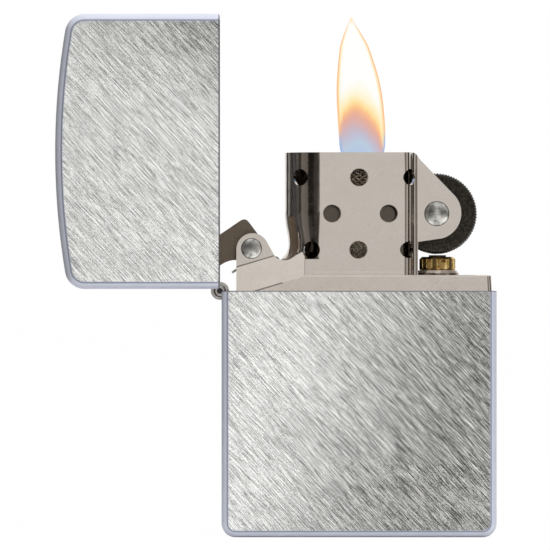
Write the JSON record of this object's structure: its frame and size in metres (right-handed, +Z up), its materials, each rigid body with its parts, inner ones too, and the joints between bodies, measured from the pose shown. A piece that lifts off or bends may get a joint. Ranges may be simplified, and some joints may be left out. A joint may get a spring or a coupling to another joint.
{
  "type": "flip-top petrol lighter",
  "caption": "Pocket windproof flip-top petrol lighter, lid open: hinged steel case, lift-out tank insert, perforated chimney, knurled striker wheel, flint tube and snap cam.",
  "frame": {"origin": "centre of the case's flat base, which rests on the surface", "axes": "+Z up through the case, +X from the hinge side to the wheel side, -Y out of the broad face that the rivet heads show on; lid open at 90 degrees"},
  "size_m": [0.0612, 0.0126, 0.0724],
  "materials": {
    "case_steel": "chrome plate, brushed on the broad faces, satin edges",
    "hinge_steel": "plated steel",
    "insert_steel": "bright nickel plate",
    "cam_steel": "sintered, matt, grainy",
    "rivet_steel": "domed and lightly scuffed",
    "spring_steel": "bright",
    "wheel_steel": "hardened, dark, knurled",
    "flint_tube_brass": "drawn brass",
    "seat_steel": "pressed steel",
    "flint_metal": "dark grey alloy",
    "wick_cotton": "braided cotton, scorched at the top",
    "packing_cotton": "loose cotton",
    "felt": "pressed felt"
  },
  "bodies": {
    "case": {"case_shell": "case_steel", "case_hinge_leaf": "hinge_steel", "hinge_pin": "hinge_steel"},
    "lid": {"lid_shell": "case_steel", "lid_hinge_leaf": "hinge_steel"},
    "insert": {"insert_shell": "insert_steel", "chimney": "insert_steel", "cam_rivet": "rivet_steel", "cam_spring": "spring_steel", "cam_spring_rivet": "rivet_steel", "wheel_rivet": "rivet_steel", "flint_tube": "flint_tube_brass", "flint_tube_seat": "seat_steel", "wick": "wick_cotton", "felt_pad": "felt", "wadding_1": "packing_cotton", "wadding_2": "packing_cotton", "wadding_3": "packing_cotton", "wadding_4": "packing_cotton", "wadding_5": "packing_cotton"},
    "cam": {"cam": "cam_steel"},
    "wheel": {"striker_wheel": "wheel_steel"},
    "flint_feed": {"flint": "flint_metal", "spring_tip": "flint_tube_brass"},
    "screw_carrier": {"flint_spring": "spring_steel"},
    "flint_screw": {"flint_screw": "seat_steel"}
  },
  "joints": [
    {"name": "lid_hinge", "type": "hinge", "parent": "case", "child": "lid", "pos_m": [-0.0193, 0, 0.0341], "axis": [0, -1, 0], "range_deg": [-90, 0], "deforming": ["cam_spring"]},
    {"name": "insert_slide", "type": "slide", "parent": "case", "child": "insert", "axis": [0, 0, 1], "range_m": [0, 0.028]},
    {"name": "cam_pivot", "type": "hinge", "parent": "insert", "child": "cam", "pos_m": [-0.01491, 0, 0.03998], "axis": [0, -1, 0], "range_deg": [-110.5, 0]},
    {"name": "wheel_spin", "type": "hinge", "parent": "insert", "child": "wheel", "pos_m": [0.0108, 0, 0.04482], "axis": [0, 1, 0], "continuous": true},
    {"name": "flint_feed", "type": "slide", "parent": "insert", "child": "flint_feed", "axis": [0, 0, 1], "range_m": [-0.0015, 0], "stiffness_N_per_m": 300, "springref_m": 0.004, "deforming": ["flint_spring"]},
    {"name": "screw_advance", "type": "slide", "parent": "insert", "child": "screw_carrier", "axis": [0, 0, -1], "range_m": [0, 0.0006]},
    {"name": "flint_screw_turn", "type": "hinge", "parent": "screw_carrier", "child": "flint_screw", "pos_m": [0.01095, 0, 0.002], "axis": [0, 0, 1], "range_deg": [0, 360]}
  ],
  "couplings": [
    {"joint": "cam_pivot", "follows": "lid_hinge", "ratio": 1.2222},
    {"joint": "flint_screw_turn", "follows": "screw_advance", "rad_per_m": 10472}
  ]
}
